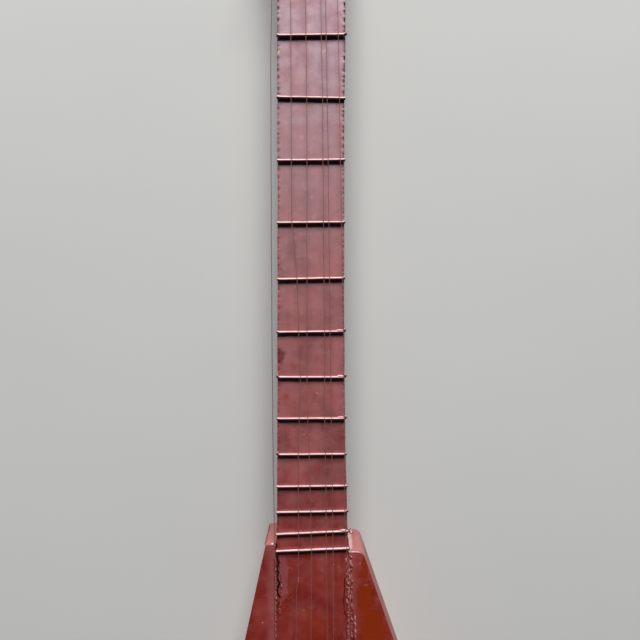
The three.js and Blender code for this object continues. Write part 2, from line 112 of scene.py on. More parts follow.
class Shader:
    """A node tree written as nested calls: node() adds a node, and the others give an output of new nodes."""

    def __init__(self, tree):
        self.tree = tree
        self.tree.nodes.clear()

    def node(self, kind, inputs=(), **settings):
        made = self.tree.nodes.new(kind)
        for key, value in settings.items():
            setattr(made, key, value)
        for key, value in dict(inputs).items():
            self.feed(made.inputs[key], value)
        return made

    def feed(self, socket, value):
        """Links an output to a socket, or sets the socket to a constant."""
        if isinstance(value, bpy.types.NodeSocket):
            self.tree.links.new(value, socket)
        else:
            socket.default_value = value

    def place(self):
        return self.node("ShaderNodeTexCoord").outputs["Object"]

    def geometry(self, output):
        return self.node("ShaderNodeNewGeometry").outputs[output]

    def axis(self, vector, letter):
        return self.node("ShaderNodeSeparateXYZ", {0: vector}).outputs[letter]

    def math(self, operation, a, b=0.0, c=0.0, clamp=False):
        made = self.node("ShaderNodeMath", {0: a, 1: b, 2: c}, operation=operation, use_clamp=clamp)
        return made.outputs[0]

    def vector_math(self, operation, inputs, output="Vector"):
        made = self.node("ShaderNodeVectorMath", dict(enumerate(inputs)), operation=operation)
        return made.outputs[output]

    def noise(self, where, scale, detail=3.0, roughness=0.55, distortion=0.0):
        inputs = {
            "Vector": where,
            "Scale": scale,
            "Detail": detail,
            "Roughness": roughness,
            "Distortion": distortion,
        }
        return self.node("ShaderNodeTexNoise", inputs).outputs["Fac"]

    def streaked(self, where, streaks, detail, roughness):
        """Noise of this fineness along each axis."""
        stretched = self.node("ShaderNodeMapping", {"Vector": where, "Scale": streaks}).outputs[0]
        return self.noise(stretched, 1.0, detail, roughness)

    def band(self, value, low, high, out_low=0.0, out_high=1.0):
        """value mapped smoothly from low..high to out_low..out_high."""
        inputs = {"Value": value, "From Min": low, "From Max": high, "To Min": out_low, "To Max": out_high}
        return self.node("ShaderNodeMapRange", inputs, interpolation_type="SMOOTHSTEP").outputs[0]

    def mix(self, amount, a, b):
        made = self.node("ShaderNodeMix", {"Factor": amount}, data_type="RGBA")
        self.feed(made.inputs[6], a)
        self.feed(made.inputs[7], b)
        return made.outputs[2]

    def patch(self, where, centre, radii, softness):
        """1 inside an ellipsoid about centre, fading to 0 outside it, in metres."""
        shifted = self.vector_math("SUBTRACT", [where, centre])
        scaled = self.vector_math("DIVIDE", [shifted, radii])
        return self.band(self.vector_math("LENGTH", [scaled], "Value"), 1.0, 1.0 - softness)

    def bump(self, height, distance, strength, normal=None):
        inputs = {"Height": height, "Distance": distance, "Strength": strength}
        if normal is not None:
            inputs["Normal"] = normal
        return self.node("ShaderNodeBump", inputs).outputs[0]


def new_material(name):
    material = bpy.data.materials.new(name)
    material.use_nodes = True
    return material, Shader(material.node_tree)


def finish_material(shader, inputs):
    """Adds the surface shader, with these constants and outputs on its sockets."""
    surface = shader.node("ShaderNodeBsdfPrincipled", inputs)
    shader.node("ShaderNodeOutputMaterial", {"Surface": surface.outputs[0]})


# ---- Surroundings and floor ---------------------------------------------------------------------


def make_surroundings():
    """Dim behind the tail and at the sides, a little brighter and bluer towards the peg end."""
    world = bpy.data.worlds.new("world")
    world.use_nodes = True
    scene.world = world
    sky = Shader(world.node_tree)
    direction = sky.node("ShaderNodeTexCoord").outputs["Generated"]
    along = sky.axis(direction, "Y")
    level = sky.band(along, 0.12, 0.60, 0.022, 0.42)
    tint = sky.mix(sky.band(along, 0.0, 0.3), (1.0, 0.95, 0.90, 1.0), (0.30, 0.50, 1.0, 1.0))
    background = sky.node("ShaderNodeBackground", {"Color": tint, "Strength": level})
    sky.node("ShaderNodeOutputWorld", {"Surface": background.outputs[0]})


def make_floor(reach=6.0):
    """A pale floor with faint clouds, this many metres each way."""
    material, shader = new_material("pale_floor")
    cloud = shader.noise(shader.place(), 3.0, 4.0)
    color = shader.mix(cloud, (0.408, 0.392, 0.351, 1.0), (0.446, 0.430, 0.386, 1.0))
    finish_material(shader, {"Roughness": 0.85, "Base Color": color})
    mesh = bpy.data.meshes.new("floor")
    corners = [(-reach, -reach, 0), (reach, -reach, 0), (reach, reach, 0), (-reach, reach, 0)]
    mesh.from_pydata(corners, [], [(0, 1, 2, 3)])
    mesh.materials.append(material)
    floor = bpy.data.objects.new("floor", mesh)
    scene.collection.objects.link(floor)


make_surroundings()
make_floor()

# ---- Paint --------------------------------------------------------------------------------------

DEEP_RED = (0.150, 0.006, 0.003, 1.0)
WARM_RED = (0.215, 0.014, 0.006, 1.0)
ORANGE_RED = (0.205, 0.020, 0.001, 1.0)
# A bluer red for a painted reflection of the sky up the neck.
SKY_REFLECTION_RED = (0.120, 0.006, 0.060, 1.0)
DULL_RED = (0.080, 0.012, 0.009, 1.0)
SALMON = (0.34, 0.080, 0.056, 1.0)
SKY_REFLECTION_MAUVE = (0.30, 0.11, 0.12, 1.0)
PALE_PINK = (0.36, 0.12, 0.10, 1.0)
# Pale pink for worn paint, and also a painted highlight on tops turned to the lamp.
WORN_AND_HIGHLIGHT_PINK = (0.64, 0.42, 0.37, 1.0)
TAN_CHIP = (0.55, 0.33, 0.16, 1.0)
DUST = (0.25, 0.055, 0.042, 1.0)
DARKEST_RED = (0.035, 0.005, 0.004, 1.0)
# Near black for the painted shade deep in the seams' cracks.
CRACK_SHADE_BLACK = (0.004, 0.002, 0.002, 1.0)
# Near black for painted shade on faces turned away from the lamp.
TAIL_SHADE_BLACK = (0.006, 0.002, 0.002, 1.0)
# Patches of these colours are glossier than the paint round them.
SLICK = (ORANGE_RED, DULL_RED)


def fresh_color(shader, where, blotch, brush, dust, sky_reflection):
    """Two reds in clouds, brush marks, orange and dark mottling, fine dust, and a bluer painted sky
    reflection up the neck.
    """
    color = shader.mix(shader.band(blotch, 0.34, 0.68), DEEP_RED, WARM_RED)
    # Painted reflection: bluer up the neck, as if it mirrored the bright sky at the peg end.
    if sky_reflection:
        color = shader.mix(shader.band(shader.axis(where, "Y"), 0.50, 0.76, 0.0, sky_reflection), color, SKY_REFLECTION_RED)
    color = shader.mix(shader.band(brush, 0.45, 0.75, 0.0, 0.22), color, DUST)
    orange = shader.noise(where, 48.0, 3.0, 0.5, 0.8)
    color = shader.mix(shader.band(orange, 0.60, 0.72, 0.0, 0.55), color, ORANGE_RED)
    stains = shader.noise(where, 85.0, 4.0, 0.6)
    color = shader.mix(shader.band(stains, 0.66, 0.76, 0.0, 0.6), color, DARKEST_RED)
    specks = shader.noise(where, 140.0, 5.0, 0.7)
    return shader.mix(shader.band(specks, 0.48, 0.75, 0.0, dust), color, DUST)


def paler_and_lit(shader, where, color, amount, pale_and_lit_tone):
    """Under a pale dusty layer that covers nearly everything, and which also paints in light on what it makes
    paler.
    """
    cover = shader.band(shader.noise(where, 40.0, 4.0, 0.6), 0.3, 0.7, amount * 0.8, amount)
    return shader.mix(cover, color, pale_and_lit_tone)


def patched(shader, where, color, patches):
    """With ragged patches of other colours. Also gives how slick each place is because of them."""
    slick = 0.0
    cloudy = shader.math("MULTIPLY_ADD", shader.noise(where, 120.0, 4.0, 0.65), 1.6, -0.8)
    for patch_color, centre, radii, strength in patches:
        ragged = shader.math("ADD", shader.patch(where, at(*centre), at(*radii), 0.8), cloudy)
        inside = shader.band(ragged, 0.15, 0.85, 0.0, strength)
        color = shader.mix(inside, color, patch_color)
        if patch_color in SLICK:
            slick = shader.math("MAXIMUM", slick, inside)
    return color, slick


def darker_under(shader, where, color, height):
    """Dark below this height, where the sheet's edge turns under."""
    level = height * MM
    cover = shader.band(shader.axis(where, "Z"), level - 0.5 * MM, level, 0.85, 0.0)
    return shader.mix(cover, color, DARKEST_RED)


def black_crack_shade(shader, where, color, amount):
    """Painted shade: nearly black, a little unevenly, for the shade deep in a crack."""
    cover = shader.band(shader.noise(where, 400.0, 3.0, 0.6), 0.3, 0.7, amount, 1.0)
    return shader.mix(cover, color, CRACK_SHADE_BLACK)


def worn_and_highlit_tops(shader, where, color, amount, wear_and_highlight_from):
    """Pale in short scuffs where the surface turns up and a little towards the peg end's lamp: wear and
    painted highlight.
    """
    tops = shader.vector_math("DOT_PRODUCT", [shader.geometry("Normal"), (0.0, 0.3, 0.954)], "Value")
    streaky = shader.band(shader.streaked(where, (90.0, 400.0, 400.0), 3.0, 0.6), 0.25, 0.55, 0.55, 1.0)
    cover = shader.math("MULTIPLY", shader.band(tops, wear_and_highlight_from, 0.985, 0.0, amount), streaky)
    return shader.mix(cover, color, WORN_AND_HIGHLIGHT_PINK)


def shaded_towards_tail(shader, color, amount):
    """Painted shade: dark on the faces turned to the tail, away from the lamp."""
    facing = shader.axis(shader.geometry("Normal"), "Y")
    return shader.mix(shader.band(facing, 0.0, -0.5, 0.0, amount), color, TAIL_SHADE_BLACK)


def worn_edges(shader, color, amount):
    """Pale along the edges that stand out."""
    edges = shader.band(shader.geometry("Pointiness"), 0.52, 0.60, 0.0, amount)
    return shader.mix(edges, color, PALE_PINK)


def paint_roughness(shader, where, blotch, rough, slick):
    """Roughness in clouds and mottles: less on slick patches and on the body, more on the upper neck."""
    along = shader.axis(where, "Y")
    mottle = shader.noise(where, 75.0, 5.0, 0.6, 0.3)
    total = shader.band(blotch, 0.3, 0.7, rough - 0.06, rough + 0.05)
    total = shader.math("ADD", total, shader.band(mottle, 0.35, 0.65, -0.05, 0.06))
    total = shader.math("MULTIPLY_ADD", slick, -0.40, total)
    total = shader.math("ADD", total, shader.band(along, 0.16, 0.27, -0.19, 0.0))
    return shader.math("ADD", total, shader.band(along, 0.45, 0.70, 0.0, 0.08), clamp=True)


def paint_relief(shader, where, brush, chips):
    """Ripples in the sheet, brush marks, fine grain and the hollows of the chips."""
    ripples = shader.bump(shader.noise(where, 60.0, 2.0, 0.5), 0.8 * MM, 0.35)
    brushed = shader.bump(brush, 0.06 * MM, 0.4, ripples)
    grained = shader.bump(shader.noise(where, 900.0, 3.0, 0.6), 0.04 * MM, 0.5, brushed)
    return shader.bump(shader.math("SUBTRACT", 1.0, chips), 0.2 * MM, 0.8, grained)


def paint(
    name,
    streaks=(260.0, 12.0, 260.0),
    patches=(),
    rough=0.57,
    coat=0.25,
    shine=0.9,
    dust=0.2,
    sky_reflection=0.0,
    pale_and_lit=0.0,
    pale_and_lit_color=PALE_PINK,
    darker_below=0.0,
    crack_shade_amount=0.0,
    wear_and_highlight=0.0,
    wear_and_highlight_from=0.93,
    tail_shade=0.0,
    worn=0.0,
):
    """Glossy brushed red-oxide paint.

    streaks is the brush marks' fineness along each axis, and patches are (colour, centre, radii, strength).
    rough, coat and shine are the gloss. The rest say how much there is of each effect above, except three:
    the colour of the pale layer, which also paints in light; the height that the paint is darker below; and
    how squarely a top faces up and towards the lamp before it is worn pale and given a painted highlight.
    """
    material, shader = new_material(name)
    where = shader.place()
    blotch = shader.noise(where, 26.0, 4.0, 0.6, 0.4)
    brush = shader.streaked(where, streaks, 4.0, 0.62)
    chips = shader.band(shader.noise(where, 330.0, 3.0, 0.5), 0.735, 0.76)
    color = shader.mix(chips, fresh_color(shader, where, blotch, brush, dust, sky_reflection), TAN_CHIP)
    if pale_and_lit:
        color = paler_and_lit(shader, where, color, pale_and_lit, pale_and_lit_color)
    color, slick = patched(shader, where, color, patches)
    if darker_below:
        color = darker_under(shader, where, color, darker_below)
    if crack_shade_amount:
        color = black_crack_shade(shader, where, color, crack_shade_amount)
    if wear_and_highlight:
        color = worn_and_highlit_tops(shader, where, color, wear_and_highlight, wear_and_highlight_from)
    if tail_shade:
        color = shaded_towards_tail(shader, color, tail_shade)
    if worn:
        color = worn_edges(shader, color, worn)
    finish_material(shader, {
        "Base Color": color,
        "Roughness": paint_roughness(shader, where, blotch, rough, slick),
        "Normal": paint_relief(shader, where, brush, chips),
        "Coat Weight": coat,
        "Coat Roughness": 0.30,
        "Coat IOR": 1.5,
        "IOR": 1.75,
        "Specular IOR Level": shine,
    })
    return material


PLATE_PATCHES = [
    (TAN_CHIP, (-33.6, 694, FRONT), (1.6, 4.5, 3), 0.95),
    (DULL_RED, (-34, 388.5, FRONT), (12, 13, 3), 0.62),
    (DARKEST_RED, (-29.4, 554, FRONT), (1.2, 1.5, 3), 0.9),
    (PALE_PINK, (5, 352, FRONT), (1.3, 1.3, 3), 0.8),
    (ORANGE_RED, (-24, 262, FRONT), (10, 24, 3), 0.20),
    (ORANGE_RED, (-5.6, 189, FRONT), (8, 6, 3), 0.5),
    (DULL_RED, (-17, 191, FRONT), (24, 7, 3), 0.25),
    (ORANGE_RED, (-27, 348, FRONT), (7, 7, 3), 0.20),
    # A pale mauve streak beside the left seam is a painted reflection of the sky.
    (SKY_REFLECTION_MAUVE, (-29.5, 170, FRONT), (9, 36, 3), 0.30),
    (ORANGE_RED, (6, 108, FRONT), (30, 34, 3), 0.22),
]
WALL_PATCHES = [
    # A pale strip up the right shoulder wall by the neck: worn paint and a painted highlight.
    (WORN_AND_HIGHLIGHT_PINK, (38.2, 193.5, 32), (5.5, 8, 52), 0.75),
]
WING_PATCHES = [
    (ORANGE_RED, (53.5, 146, FRONT), (11.5, 24, 3), 0.9),
    (ORANGE_RED, (52.5, 176, FRONT), (5.5, 17, 3), 0.75),
    (ORANGE_RED, (62, 116, FRONT), (20, 31, 3), 0.95),
    (DARKEST_RED, (57.5, 163, FRONT), (2.8, 2.2, 3), 0.7),
    (PALE_PINK, (54, 160, FRONT), (3.5, 1.8, 3), 0.35),
]
# The way that the brush went.
ALONG_WALLS = (420.0, 40.0, 420.0)
ACROSS_WINGS = (60.0, 420.0, 420.0)
ALONG_NECK = (520.0, 14.0, 520.0)
ALONG_RODS = (30.0, 600.0, 600.0)
ALONG_BEADS = (300.0, 90.0, 300.0)

# The fingerboard carries the painted sky reflection up the neck.
PAINT_PLATE = paint("paint_fingerboard", patches=PLATE_PATCHES, worn=0.5, darker_below=FRONT - 0.5, sky_reflection=0.38)
PAINT_WING = paint("paint_wings", ACROSS_WINGS, WING_PATCHES, worn=0.4)
# Walls and sides are paler under a dusty layer, which also paints in the light falling on them.
PAINT_WALL = paint(
    "paint_walls",
    ALONG_WALLS,
    WALL_PATCHES,
    rough=0.6,
    coat=0.06,
    shine=0.2,
    dust=0.3,
    pale_and_lit=0.93,
    worn=0.4,
)
PAINT_SIDE = paint(
    "paint_sides",
    ALONG_WALLS,
    rough=0.66,
    coat=0.03,
    shine=0.15,
    dust=0.3,
    pale_and_lit=0.85,
    pale_and_lit_color=SALMON,
    worn=0.4,
)
PAINT_BACK = paint("paint_back", ALONG_WALLS, rough=0.45, coat=0.5, dust=0.4, worn=0.4)
PAINT_NECK = paint("paint_neck", ALONG_NECK, rough=0.47, coat=0.12, dust=0.4, worn=0.5)
# The frets' tops are pale with wear and a painted highlight.
PAINT_FRET = paint(
    "paint_frets",
    ALONG_RODS,
    rough=0.5,
    coat=0.1,
    shine=0.5,
    dust=0.1,
    wear_and_highlight=0.85,
    # Painted shade on the frets' sides that face the tail.
    tail_shade=0.85,
)
# The beads' upturned sides are a little pale: wear and a painted highlight.
PAINT_WELD = paint(
    "paint_welds",
    ALONG_BEADS,
    rough=0.66,
    coat=0.05,
    shine=0.5,
    dust=0.3,
    wear_and_highlight=0.25,
    wear_and_highlight_from=0.86,
    worn=0.3,
)
# Tacks pale nearly all over, and lumps pale pink: worn paint and painted highlight.
PAINT_TACK = paint("paint_tacks", rough=0.5, coat=0.1, shine=0.6, dust=0.1, wear_and_highlight=1.0, wear_and_highlight_from=-0.2)
PAINT_LUMP = paint("paint_lumps", rough=0.74, coat=0.03, shine=0.3, pale_and_lit=0.6, wear_and_highlight=0.3, wear_and_highlight_from=0.6)
# Painted shade: a near-black strip stands for the shade deep in the seams' cracks.
PAINT_CRACK_SHADE = paint("painted_shade_in_the_seam", ALONG_BEADS, rough=0.7, coat=0.0, shine=0.1, dust=0.0, crack_shade_amount=0.88)

# ---- Steel --------------------------------------------------------------------------------------


def steel(name, base, tarnish, rough, streaks, metal=0.95):
    """Bare steel, brushed along one way, with brown tarnish in the hollows of a noise."""
    material, shader = new_material(name)
    where = shader.place()
    brush = shader.streaked(where, streaks, 4.0, 0.65)
    rust = shader.band(shader.noise(where, 150.0, 5.0, 0.65, 0.5), 0.52, 0.70)
    darker = (base[0] * 0.6, base[1] * 0.6, base[2] * 0.6, 1.0)
    color = shader.mix(shader.band(brush, 0.3, 0.7, 0.0, 0.5), base, darker)
    brushed = shader.band(brush, 0.3, 0.7, rough - 0.06, rough + 0.1)
    scratches = shader.bump(brush, 0.05 * MM, 0.5)
    finish_material(shader, {
        "Base Color": shader.mix(shader.math("MULTIPLY", rust, 0.75), color, tarnish),
        "Metallic": shader.band(rust, 0.0, 1.0, metal, metal * 0.35),
        "Roughness": shader.math("MULTIPLY_ADD", rust, 0.22, brushed),
        "Normal": shader.bump(shader.noise(where, 1100.0, 3.0, 0.6), 0.06 * MM, 0.4, scratches),
    })
    return material


ALONG_WIRES = (60.0, 500.0, 60.0)
BARE_STEEL = steel(
    "bare_steel",
    base=(0.40, 0.38, 0.36, 1.0),
    tarnish=(0.16, 0.075, 0.035, 1.0),
    rough=0.38,
    streaks=(900.0, 30.0, 900.0),
)
PEG_STEEL = steel(
    "peg_steel",
    base=(0.42, 0.40, 0.38, 1.0),
    tarnish=(0.15, 0.075, 0.04, 1.0),
    rough=0.34,
    streaks=(40.0, 700.0, 700.0),
)
WIRE = steel(
    "string_wire",
    base=(0.24, 0.105, 0.078, 1.0),
    tarnish=(0.13, 0.05, 0.033, 1.0),
    rough=0.42,
    streaks=ALONG_WIRES,
    metal=0.3,
)
DARK_WIRE = steel(
    "drone_wire",
    base=(0.20, 0.10, 0.077, 1.0),
    tarnish=(0.11, 0.048, 0.034, 1.0),
    rough=0.42,
    streaks=ALONG_WIRES,
    metal=0.3,
)

# ---- Mesh tools ---------------------------------------------------------------------------------

CORNER_ANGLE = math.radians(35)  # edges sharper than this are corners, and are rounded


def drift(*place):
    """Smooth repeatable noise from about -1 to 1."""
    return noise.noise(Vector(place))


def add_piece(name, mesh, material, body=INSTRUMENT, replaces=()):
    mesh.materials.clear()
    mesh.materials.append(material)
    piece = bpy.data.objects.new(name, mesh)
    scene.collection.objects.link(piece)
    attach(piece, body)
    if replaces:
        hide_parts(*replaces)
    return piece


def mesh_of(bm, name, sharp_degrees=40):
    """The finished mesh: smooth, apart from edges sharper than this."""
    bmesh.ops.recalc_face_normals(bm, faces=bm.faces)
    for face in bm.faces:
        face.smooth = True
    for edge in bm.edges:
        edge.smooth = len(edge.link_faces) != 2 or edge.calc_face_angle(0) < math.radians(sharp_degrees)
    mesh = bpy.data.meshes.new(name)
    bm.to_mesh(mesh)
    bm.free()
    return mesh


def loft(bm, rings):
    """A closed skin through rings of equally many points, capped at both ends."""
    rows = [[bm.verts.new(point) for point in ring] for ring in rings]
    count = len(rows[0])
    for low, high in zip(rows, rows[1:]):
        for i in range(count):
            j = (i + 1) % count
            bm.faces.new((low[i], low[j], high[j], high[i]))
    bm.faces.new(rows[0][::-1])
    bm.faces.new(rows[-1])


def frames_along(points):
    """Each point with two directions across the path, turning as little as they can."""
    tangents = []
    for i in range(len(points)):
        before = points[max(i - 1, 0)]
        after = points[min(i + 1, len(points) - 1)]
        tangents.append((after - before).normalized())
    side = tangents[0].orthogonal().normalized()
    for point, tangent in zip(points, tangents):
        side = (side - tangent * side.dot(tangent)).normalized()
        yield point, side, tangent.cross(side)


def tube(bm, points, radius, sides):
    """A round tube along points, in metres.

    radius is a number, or a function of how far along a point is, from 0 to 1.
    """
    rings = []
    last = len(points) - 1
    for i, (point, side, up) in enumerate(frames_along(points)):
        r = radius(i / last) if callable(radius) else radius
        turns = [2 * math.pi * k / sides for k in range(sides)]
        rings.append([point + (side * math.cos(turn) + up * math.sin(turn)) * r for turn in turns])
    loft(bm, rings)


def blob(bm, centre, radii, seed, rough=0.18):
    """A lump of metal, its centre and radii in millimetres."""
    centre, radii = at(*centre), at(*radii)
    made = bmesh.ops.create_icosphere(bm, subdivisions=3, radius=1.0)
    for vert in made["verts"]:
        swell = 1 + rough * drift(vert.co.x * 2 + seed, vert.co.y * 2, vert.co.z * 2)
        vert.co = Vector(centre) + Vector([c * r * swell for c, r in zip(vert.co, radii)])


def even_path(points, step):
    """Points about this far apart along the straight stretches between points."""
    path = []
    for a, b in zip(points, points[1:]):
        count = max(1, round((b - a).length / step))
        path += [a.lerp(b, k / count) for k in range(count)]
    return [*path, points[-1]]


def cut_grid(bm, steps):
    """Cuts the mesh by planes this far apart across each axis (0 for none), in metres."""
    for axis, step in enumerate(steps):
        if not step:
            continue
        places = [vert.co[axis] for vert in bm.verts]
        normal = Vector([1.0 if k == axis else 0.0 for k in range(3)])
        place = math.ceil(min(places) / step) * step
        while place < max(places):
            geometry = [*bm.verts, *bm.edges, *bm.faces]
            bmesh.ops.bisect_plane(bm, geom=geometry, dist=1e-7, plane_co=normal * place, plane_no=normal)
            place += step


def refined(node, material, rounding, steps, snaps=(), wave=0.0, choose=None):
    """Stands for a CAD sheet: its gaps closed, its edges rounded and its faces a little uneven.

    Everything is in millimetres. rounding is the edges' radius, and steps how far apart the faces are cut
    across each axis. snaps are (from, to): corners at one height moved to another. wave is how uneven the
    faces are, and choose picks the edges to round by their midpoint.
    """
    bm = bmesh.new()
    bm.from_mesh(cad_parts[node].data)
    bmesh.ops.remove_doubles(bm, verts=bm.verts, dist=0.002 * MM)
    for old, new in snaps:
        for vert in bm.verts:
            if abs(vert.co.z - old * MM) < 0.05 * MM:
                vert.co.z = new * MM
    bmesh.ops.dissolve_limit(bm, angle_limit=math.radians(1), verts=bm.verts, edges=bm.edges)
    edges = [e for e in bm.edges if len(e.link_faces) == 2 and e.calc_face_angle(0) > CORNER_ANGLE]
    if choose:
        edges = [e for e in edges if choose((e.verts[0].co + e.verts[1].co) / 2 / MM)]
    bmesh.ops.bevel(
        bm, geom=edges, offset=rounding * MM, segments=4, profile=0.5, affect="EDGES", clamp_overlap=True
    )
    cut_grid(bm, [step * MM for step in steps])
    bm.normal_update()
    for vert in bm.verts:
        x, y, z = vert.co
        bulge = drift(x * 16, y * 16, z * 16 + 5) + 0.35 * drift(x * 70, y * 70, z * 70)
        vert.co += vert.normal * (wave * MM) * bulge
    name = node + "_sheet"
    piece = add_piece(name, mesh_of(bm, name), material, replaces=(node,))
    piece.modifiers.new("even_shading", "WEIGHTED_NORMAL").keep_sharp = True


# ---- Fingerboard --------------------------------------------------------------------------------

plate_low, plate_high = box_of("fingerboard_plate")
tail_low, tail_high = box_of("tail_band")
SHOULDER_Y = 200.0
NECK_WIDTH = 72.0  # at the shoulders
NECK_TAPER = 0.008
BOWL_RADIUS = 125.0
BOWL_X = (tail_low.x + tail_high.x) / 2
BOWL_Y = tail_low.y + BOWL_RADIUS
LAP = 2.4  # how far the plate's lower end reaches over the tail band
PLATE_COLUMNS = 20
PLATE_ROWS = 1300
FREE_FROM = 196.0  # above this the plate's edges stand free, and are cut by hand
CHIPPED_FROM = 520.0  # above this the chips get deeper

# The fingerboard's left (-1) and right (1) edges as (y, x). The right one is hollowed a little.
EDGES = {
    -1: [(188, -36.1), (200, -35.4), (245, -34.9), (320, -34.6), (560, -34.4), (700, -34.8), (904, -34.4)],
    1: [(200, 36), (230, 35), (320, 33), (465, 32), (585, 32), (745, 33.5), (904, 33.2)],
}


def half_width(y):
    return (NECK_WIDTH - NECK_TAPER * (y - SHOULDER_Y)) / 2


def edge_at(side, y):
    """Where an edge is at y, eased between the places given for it."""
    places = EDGES[side]
    if y <= places[0][0]:
        return side * half_width(y)
    for (low, x_low), (high, x_high) in zip(places, places[1:]):
        if y <= high:
            t = (y - low) / (high - low)
            return x_low + (x_high - x_low) * (3 - 2 * t) * t * t
    return places[-1][1]


def notch(y, side):
    """How deeply an edge is chipped at y, from 0 to 1: most of all on the upper neck, at the right."""
    if side > 0:
        worst = clamp((y - CHIPPED_FROM) / 200, 0.2, 1.0)
    else:
        worst = clamp((y - CHIPPED_FROM) / 300, 0.25, 0.6)
    return worst * clamp(4.5 * drift(y * 0.26, side * 11.0, 9.0) + 0.3, 0.0, 1.0)


def ragged_edge(side, y):
    """Where an edge is at y, with its wander and its chips."""
    if y <= FREE_FROM:
        return edge_at(side, y)
    coarse = 0.3 * drift(y * 0.021, side * 7.0, 3.0)
    fine = 0.15 * drift(y * 0.9, side * 3.0, 0.0)
    return edge_at(side, y) + side * (coarse - 0.25 * notch(y, side) + fine)


def fall_at_edge(y, side, from_edge):
    """How far the top turns down this far from an edge: a little all along it, and much in a chip."""
    if y <= FREE_FROM:
        return 0.0
    return (0.35 + 2.2 * notch(y, side)) * math.exp(-((from_edge / 0.75) ** 2))


def plate_side(corner, side, lap):
    """Below an upper corner of the plate: a point on its edge, then one on its underside."""
    wall = (corner[0] + side * 0.15 * MM, corner[1], (plate_high.z - 1.6) * MM)
    under = (corner[0] - side * 0.3 * MM, corner[1] + lap, plate_low.z * MM)
    return [wall, under]


def plate_ring(t):
    """A section across the plate, t of the way from its round lower end to the neck's end."""
    top = []
    for column in range(PLATE_COLUMNS + 1):
        # The outer columns crowd towards the edges, where the surface turns down.
        spread = 0.5 - 0.5 * math.cos(math.pi * column / PLATE_COLUMNS)
        across = (2 * spread - 1) * plate_high.x - BOWL_X
        start = BOWL_Y - math.sqrt(BOWL_RADIUS**2 - across**2) + 0.3
        y = start + (NECK_END - start) * t
        left = ragged_edge(-1, y)
        right = ragged_edge(1, y)
        x = left + (right - left) * spread
        fall = fall_at_edge(y, 1 if x > 0 else -1, min(x - left, right - x))
        fall += 0.7 * math.exp(-((y - start) ** 2))
        wave = 0.14 * drift(x * 0.03, y * 0.018, 0.0) + 0.07 * drift(x * 0.10, y * 0.07, 4.0)
        top.append(at(x, y, plate_high.z - 0.12 - fall + wave))
    lap = LAP * MM * (1 - t)
    ring = top + plate_side(top[-1], 1, lap) + plate_side(top[0], -1, lap)[::-1]
    return [Vector(point) for point in ring]


def make_fingerboard():
    bm = bmesh.new()
    loft(bm, [plate_ring(row / PLATE_ROWS) for row in range(PLATE_ROWS + 1)])
    mesh = mesh_of(bm, "fingerboard", sharp_degrees=50)
    add_piece("fingerboard", mesh, PAINT_PLATE, replaces=("fingerboard_plate",))


make_fingerboard()

# ---- Body, neck and peg box sheets --------------------------------------------------------------


def outer_top(p):
    """The wing edges that are rounded: those on the front face, away from the neck."""
    return p.z > FRONT - 0.5 and abs(p.x) > half_width(p.y) + 1.5


def upright(p):
    """Wall corners that run up and down: the top and bottom edges meet other sheets."""
    return 3.0 < p.z < FRONT - 3.0


def at_the_bottom(p):
    """The back plate's edges that the instrument lies on."""
    return p.z < 0.5


for wing in ("front_wing_left", "front_wing_right"):
    refined(wing, PAINT_WING, 0.9, (12, 12, 0), wave=0.22, choose=outer_top)
WALLS = {
    "side_wall_left": PAINT_SIDE,
    "side_wall_right": PAINT_SIDE,
    "tail_band": PAINT_SIDE,
    "shoulder_wall_left": PAINT_WALL,
    "shoulder_wall_right": PAINT_WALL,
}
for wall, material in WALLS.items():
    refined(wall, material, 0.5, (16, 16, 16), [(2.3, 2.0), (67.7, 68.0)], 0.22, upright)
refined("heel_plate", PAINT_WALL, 0.4, (16, 0, 16), [(2.3, 2.0), (33.7, 34.0)], 0.1)
refined("back_plate", PAINT_BACK, 1.2, (16, 16, 0), choose=at_the_bottom)
refined("neck_channel", PAINT_NECK, 1.0, (20, 16, 16), [(66.7, 67.0)], 0.18)
refined("pegbox_channel", PAINT_NECK, 0.7, (16, 16, 16), wave=0.15)
refined("pegbox_end_plate", PAINT_NECK, 0.8, (12, 0, 12), wave=0.15)

# ---- Welds --------------------------------------------------------------------------------------

seam_low, seam_high = box_of("weld_bead_left")
BEAD_STEP = 0.55
BEAD_SIDES = 12
BEAD_END = 2.0  # how far from its ends a bead has its full width

# The peg box leans back from the neck's end. HEAD is its own frame, in millimetres.
HEAD_LENGTH = 150
HEAD_DEPTH = 36
HEAD_RAKE = math.asin(FRONT / math.hypot(HEAD_LENGTH, HEAD_DEPTH)) - math.atan2(HEAD_DEPTH, HEAD_LENGTH)
HEAD = Matrix.Translation((0, NECK_END, FRONT)) @ Matrix.Rotation(-HEAD_RAKE, 4, "X")


